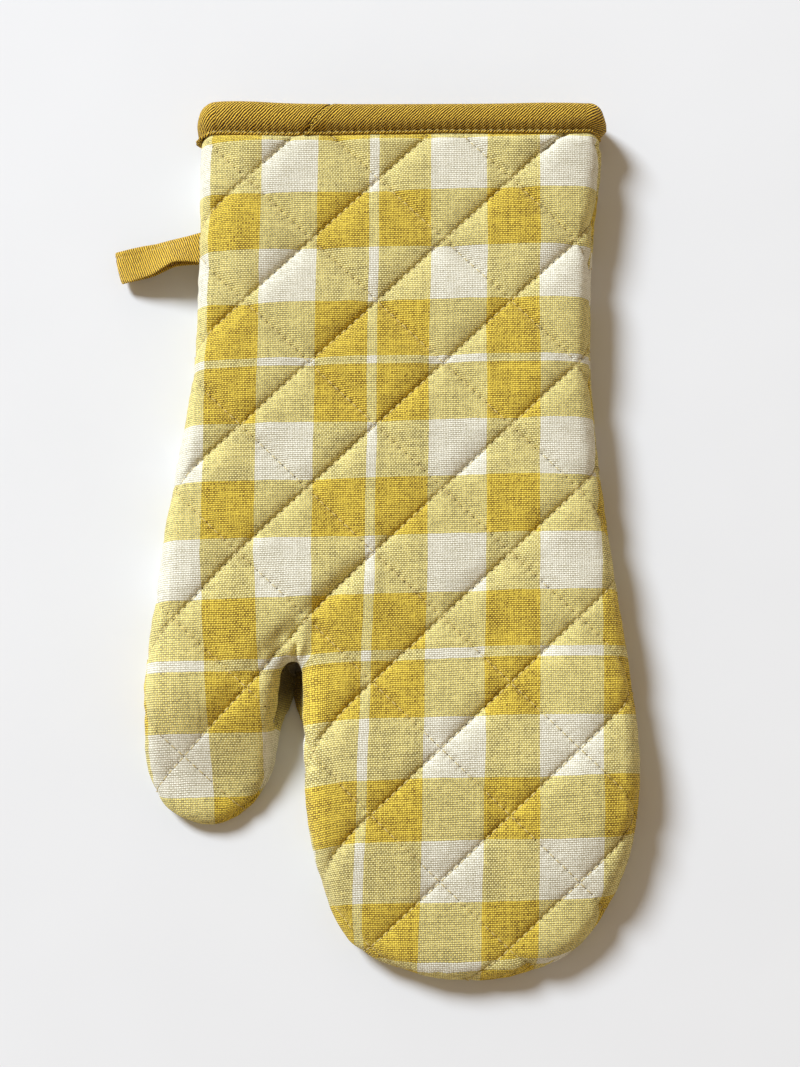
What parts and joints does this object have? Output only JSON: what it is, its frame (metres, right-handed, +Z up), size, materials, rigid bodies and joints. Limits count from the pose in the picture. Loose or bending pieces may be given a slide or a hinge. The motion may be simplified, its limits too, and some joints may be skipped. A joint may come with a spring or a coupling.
{
  "type": "grill mitt",
  "caption": "Padded grill mitt of diamond-quilted check cotton, lying flat, with a bound cuff, a thumb and a tape loop to hang it by.",
  "frame": {"origin": "under the middle of the whole, on the surface that the mitt lies on", "axes": "+X across the cuff, away from the thumb; +Y from the fingertips to the cuff; +Z up, off the surface"},
  "size_m": [0.194, 0.3208, 0.0223],
  "materials": {
    "check_cotton": "matt plain-weave cotton, mustard and off-white check, quilted",
    "bias_cotton": "matt mustard cotton tape cut on the bias"
  },
  "bodies": {
    "root": {"front_panel": "check_cotton", "back_panel": "check_cotton", "cuff_binding": "bias_cotton", "hanging_loop": "bias_cotton"}
  },
  "joints": []
}
